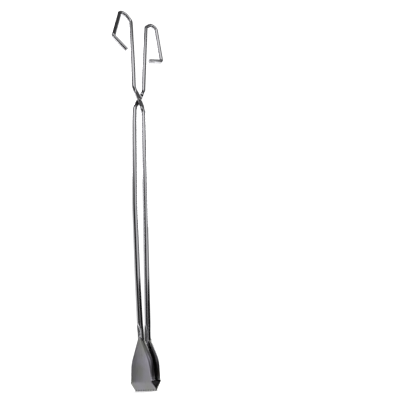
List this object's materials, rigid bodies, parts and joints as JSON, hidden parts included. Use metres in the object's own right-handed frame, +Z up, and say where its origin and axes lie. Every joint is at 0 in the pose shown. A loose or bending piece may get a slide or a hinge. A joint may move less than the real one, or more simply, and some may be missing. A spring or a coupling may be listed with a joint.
{
  "type": "scissor tongs",
  "caption": "Long steel-rod scissor tongs with two finger hooks, one rivet pivot and two stamped, toothed scoop jaws.",
  "frame": {"origin": "on the surface that the closed teeth touch, midway between the two rows of teeth, in the middle of the jaws' width", "axes": "+Z up the tongs from the teeth to the finger hooks, +Y along the rivet towards the back, +X the way the right jaw opens"},
  "size_m": [0.074, 0.0298, 0.442],
  "materials": {
    "plated_rod": "drawn steel rod, bright nickel plated",
    "plated_sheet": "stamped steel sheet, nickel plated, with faint rolling marks",
    "rivet_steel": "cold-headed steel, plated",
    "weld_steel": "weld metal, plated over"
  },
  "bodies": {
    "front": {"front_arm": "plated_rod", "right_jaw": "plated_sheet", "right_weld": "weld_steel", "pivot_rivet": "rivet_steel"},
    "back": {"back_arm": "plated_rod", "left_jaw": "plated_sheet", "left_weld": "weld_steel"}
  },
  "joints": [
    {"name": "opening", "type": "hinge", "parent": "front", "child": "back", "pos_m": [0, 0, 0.3], "axis": [0, 1, 0], "range_deg": [0, 34]}
  ]
}
